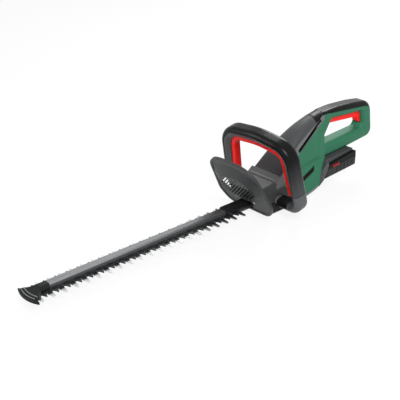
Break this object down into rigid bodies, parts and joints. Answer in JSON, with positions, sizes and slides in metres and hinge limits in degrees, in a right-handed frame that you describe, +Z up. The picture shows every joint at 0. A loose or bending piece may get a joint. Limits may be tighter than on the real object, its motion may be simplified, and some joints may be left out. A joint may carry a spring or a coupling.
{
  "type": "cordless hedge trimmer",
  "caption": "Cordless hedge trimmer with a long double-sided toothed blade, a slotted hand guard, a loop front handle with a red switch bar and a D-shaped rear handle above a slide-on battery.",
  "frame": {"origin": "on the flat underside of the gear case, straight below the crank gear's axis", "axes": "+X forward along the blade, +Y to the tool's left, +Z up, away from the surface it rests on"},
  "size_m": [0.9143, 0.2104, 0.1851],
  "materials": {
    "shell_green": "satin",
    "trim_grey": "satin",
    "hood_grey": "satin",
    "case_black": "satin",
    "soft_grip": "satin",
    "loop_grey": "satin",
    "switch_red": "satin",
    "guard_grey": "satin",
    "sleeve_black": "satin",
    "blade_steel": "ground",
    "bar_metal": "satin",
    "fastener_steel": "satin",
    "drive_steel": "machined",
    "cell_wrap": "gloss",
    "terminal_brass": "satin",
    "board_green": "gloss"
  },
  "bodies": {
    "body": {"bar_sleeve": "sleeve_black", "battery_foot": "trim_grey", "blade_bolts": "fastener_steel", "blade_spacers": "fastener_steel", "case_screws": "fastener_steel", "comb_blade": "blade_steel", "control_board": "board_green", "foot_terminals": "terminal_brass", "gear_bearing": "drive_steel", "gear_case_cover": "hood_grey", "gear_case_tray": "case_black", "gear_plate": "bar_metal", "grip_cap": "soft_grip", "guard_screws": "fastener_steel", "guide_bar": "bar_metal", "hand_guard": "guard_grey", "housing_left": "shell_green", "housing_right": "shell_green", "housing_screws": "fastener_steel", "loop_bolts": "fastener_steel", "loop_clamps": "case_black", "loop_front_shell": "loop_grey", "loop_grip": "soft_grip", "loop_rear_shell": "loop_grey", "motor_can": "drive_steel", "motor_cap": "bar_metal", "neck_collar": "hood_grey", "rear_grip": "soft_grip", "side_strips": "case_black", "side_trim_left": "trim_grey", "side_trim_right": "trim_grey", "spine_cover": "hood_grey", "tip_protector": "sleeve_black", "trigger_pin": "fastener_steel", "trigger_switch": "case_black", "vent_screens": "case_black"},
    "cutter": {"cutter_blade": "blade_steel", "cutter_yoke": "blade_steel"},
    "drive": {"drive_gear": "drive_steel", "crank_roller": "drive_steel"},
    "pinion": {"motor_pinion": "drive_steel", "motor_rotor": "drive_steel"},
    "trigger": {"rear_trigger": "switch_red"},
    "switch_bar": {"loop_switch_bar": "switch_red"},
    "pack": {"pack_case_tray": "case_black", "pack_case_lid": "case_black", "pack_cells": "cell_wrap"},
    "button_left": {"release_button_left": "switch_red"},
    "button_right": {"release_button_right": "switch_red"}
  },
  "joints": [
    {"name": "cutter_stroke", "type": "slide", "parent": "body", "child": "cutter", "axis": [1, 0, 0], "range_m": [-0.012, 0.012]},
    {"name": "gear_turn", "type": "hinge", "parent": "body", "child": "drive", "pos_m": [0, 0, 0.0375], "axis": [0, 0, 1], "range_deg": [-90, 90]},
    {"name": "motor_turn", "type": "hinge", "parent": "body", "child": "pinion", "pos_m": [-0.0325, 0, 0.0375], "axis": [0, 0, 1], "range_deg": [-360, 360]},
    {"name": "trigger_pull", "type": "hinge", "parent": "body", "child": "trigger", "pos_m": [-0.177, 0, 0.162], "axis": [0, 1, 0], "range_deg": [0, 4], "stiffness_Nm_per_rad": 4, "springref_deg": -2.86},
    {"name": "switch_bar_squeeze", "type": "slide", "parent": "body", "child": "switch_bar", "axis": [0.2284, 0, 0.9736], "range_m": [0, 0.003], "stiffness_N_per_m": 900, "springref_m": -0.004},
    {"name": "pack_slide", "type": "slide", "parent": "body", "child": "pack", "axis": [-0.9981, 0, 0.061], "range_m": [0, 0.1]},
    {"name": "release_left", "type": "slide", "parent": "pack", "child": "button_left", "axis": [0, -1, 0], "range_m": [0, 0.0015], "stiffness_N_per_m": 600, "springref_m": -0.002},
    {"name": "release_right", "type": "slide", "parent": "pack", "child": "button_right", "axis": [0, 1, 0], "range_m": [0, 0.0015], "stiffness_N_per_m": 600, "springref_m": -0.002}
  ],
  "couplings": [
    {"joint": "gear_turn", "follows": "cutter_stroke", "rad_per_m": 130.9},
    {"joint": "motor_turn", "follows": "cutter_stroke", "rad_per_m": -523.6}
  ]
}
